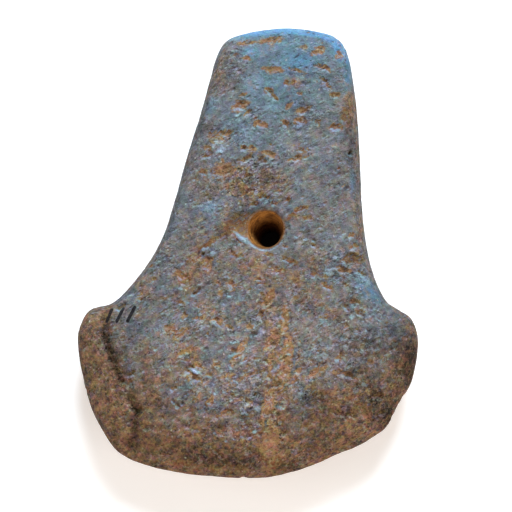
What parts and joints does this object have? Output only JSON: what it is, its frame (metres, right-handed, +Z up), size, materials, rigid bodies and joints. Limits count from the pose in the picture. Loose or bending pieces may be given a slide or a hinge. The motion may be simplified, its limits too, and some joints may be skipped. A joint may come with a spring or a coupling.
{
  "type": "stone spud",
  "caption": "Pecked and ground stone spud with a tapering shank, a flared blade with squared shoulders, a worn bit and a hole drilled through the shank.",
  "frame": {"origin": "on the resting plane, under the middle of the stone's bounding box", "axes": "+Z up out of the face while the stone lies on its back, +Y from the bit towards the poll, +X to the right as the face is seen with the poll up"},
  "size_m": [0.118, 0.1586, 0.0246],
  "materials": {
    "stone": "pecked and weathered grey-blue stone with ochre soil in its pits and a brown tinge towards the bit"
  },
  "bodies": {
    "root": {"stone_spud": "stone"}
  },
  "joints": []
}
